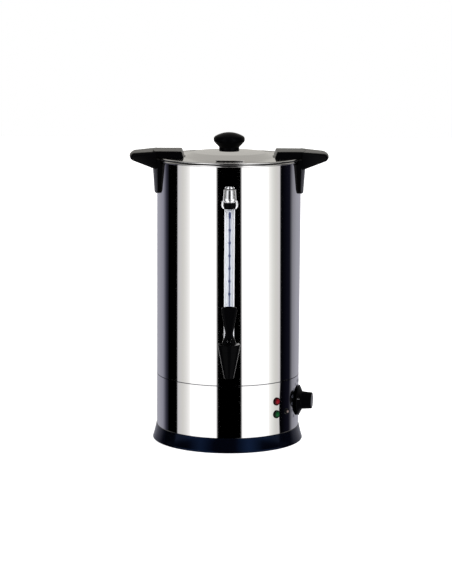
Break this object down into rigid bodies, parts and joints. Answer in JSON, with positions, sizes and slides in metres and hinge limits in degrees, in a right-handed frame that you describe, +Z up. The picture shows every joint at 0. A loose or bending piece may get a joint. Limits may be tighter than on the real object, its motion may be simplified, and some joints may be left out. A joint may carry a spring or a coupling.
{
  "type": "hot water urn",
  "caption": "Cylindrical steel urn that boils and keeps water hot, with a twist-lock lid, two grips, a sight gauge, a spring-return lever tap, a dial and pilot lamps.",
  "frame": {"origin": "the tank's axis where it meets the table, on the plane of the four feet", "axes": "+Z up along the tank's axis; -Y forwards, the way the tap points; +X to the right seen from the tap's side, towards the dial"},
  "size_m": [0.346, 0.3342, 0.5403],
  "materials": {
    "polished_steel": "polished stainless steel",
    "floor_steel": "satin stainless steel",
    "black_plastic": "satin heat-resistant black plastic",
    "base_plastic": "semi-gloss black plastic",
    "black_rubber": "matte",
    "grey_rubber": "matte silicone",
    "plated_steel": "zinc-plated steel",
    "cast_aluminium": "as cast",
    "element_sheath": "oxidised sheath",
    "steatite": "unglazed",
    "copper": "drawn copper",
    "brass": "machined",
    "chrome_trim": "polished",
    "dial_cap": "spun, brushed",
    "gauge_collar_plastic": "satin",
    "clear_glass": "clear",
    "lamp_barrel": "satin",
    "lamp_heating": "translucent lens",
    "lamp_warm": "translucent lens",
    "terminal_plastic": "moulded",
    "button_plastic": "moulded"
  },
  "bodies": {
    "urn": {"tank_shell": "polished_steel", "skirt": "polished_steel", "tank_floor": "floor_steel", "handle_left": "black_plastic", "handle_right": "black_plastic", "tap_body": "black_plastic", "tap_bonnet": "black_plastic", "base_ring": "base_plastic", "feet": "black_rubber", "handle_washers": "grey_rubber", "shank_gasket": "grey_rubber", "inner_gasket": "grey_rubber", "gauge_seal": "grey_rubber", "base_screws": "plated_steel", "plate_screws": "plated_steel", "clamp_nut": "plated_steel", "thermostat_screws": "plated_steel", "lamp_clips": "plated_steel", "handle_screws": "plated_steel", "gauge_screw": "plated_steel", "tap_spring": "plated_steel", "base_plate": "plated_steel", "element_clamp": "plated_steel", "heat_plate": "cast_aluminium", "heating_element": "element_sheath", "thermostat_body": "steatite", "cutout_body": "steatite", "thermostat_bulb": "copper", "earth_stud": "brass", "gauge_cap": "chrome_trim", "gauge_bracket": "chrome_trim", "gauge_guard": "chrome_trim", "tap_shank": "chrome_trim", "shank_nut": "chrome_trim", "gauge_collar": "gauge_collar_plastic", "gauge_glass": "clear_glass", "heating_lamp_housing": "lamp_barrel", "warm_lamp_housing": "lamp_barrel", "cutout_nut": "lamp_barrel", "cable_gland": "lamp_barrel", "gland_nut": "lamp_barrel", "heating_lamp_lens": "lamp_heating", "warm_lamp_lens": "lamp_warm", "terminal_block": "terminal_plastic"},
    "valve": {"valve_stem": "black_plastic", "seat_cup": "grey_rubber", "lever_pin": "plated_steel"},
    "lever": {"tap_lever": "black_plastic"},
    "dial": {"control_knob": "black_plastic", "knob_cap": "dial_cap", "thermostat_spindle": "plated_steel"},
    "reset": {"reset_button": "button_plastic"},
    "lid_ring": {"lid_seal": "black_rubber"},
    "lid": {"lid_plate": "polished_steel", "lid_ear_left": "black_plastic", "lid_ear_right": "black_plastic", "ear_screws": "plated_steel", "lid_knob": "black_plastic", "lid_knob_screw": "plated_steel"}
  },
  "joints": [
    {"name": "valve_lift", "type": "slide", "parent": "urn", "child": "valve", "axis": [0, 0, 1], "range_m": [0, 0.004], "deforming": ["tap_spring"]},
    {"name": "lever_tilt", "type": "hinge", "parent": "valve", "child": "lever", "pos_m": [0, -0.179, 0.2069], "axis": [1, 0, 0], "range_deg": [0, 36], "stiffness_Nm_per_rad": 0.064, "springref_deg": -17.53},
    {"name": "dial_turn", "type": "hinge", "parent": "urn", "child": "dial", "pos_m": [0.12761, -0.02481, 0.072], "axis": [-0.9816, 0.1908, 0], "range_deg": [-52, 208]},
    {"name": "reset_press", "type": "slide", "parent": "urn", "child": "reset", "axis": [-0.8121, 0.5835, 0], "range_m": [0, 0.0015], "stiffness_N_per_m": 800, "springref_m": -0.001},
    {"name": "lid_lift", "type": "slide", "parent": "urn", "child": "lid_ring", "axis": [0, 0, 1], "range_m": [0, 0.15]},
    {"name": "lid_twist", "type": "hinge", "parent": "lid_ring", "child": "lid", "pos_m": [0, 0, 0.5], "axis": [0, 0, -1], "range_deg": [0, 12]}
  ],
  "couplings": [
    {"joint": "lever_tilt", "follows": "valve_lift", "rad_per_m": 152.72}
  ]
}
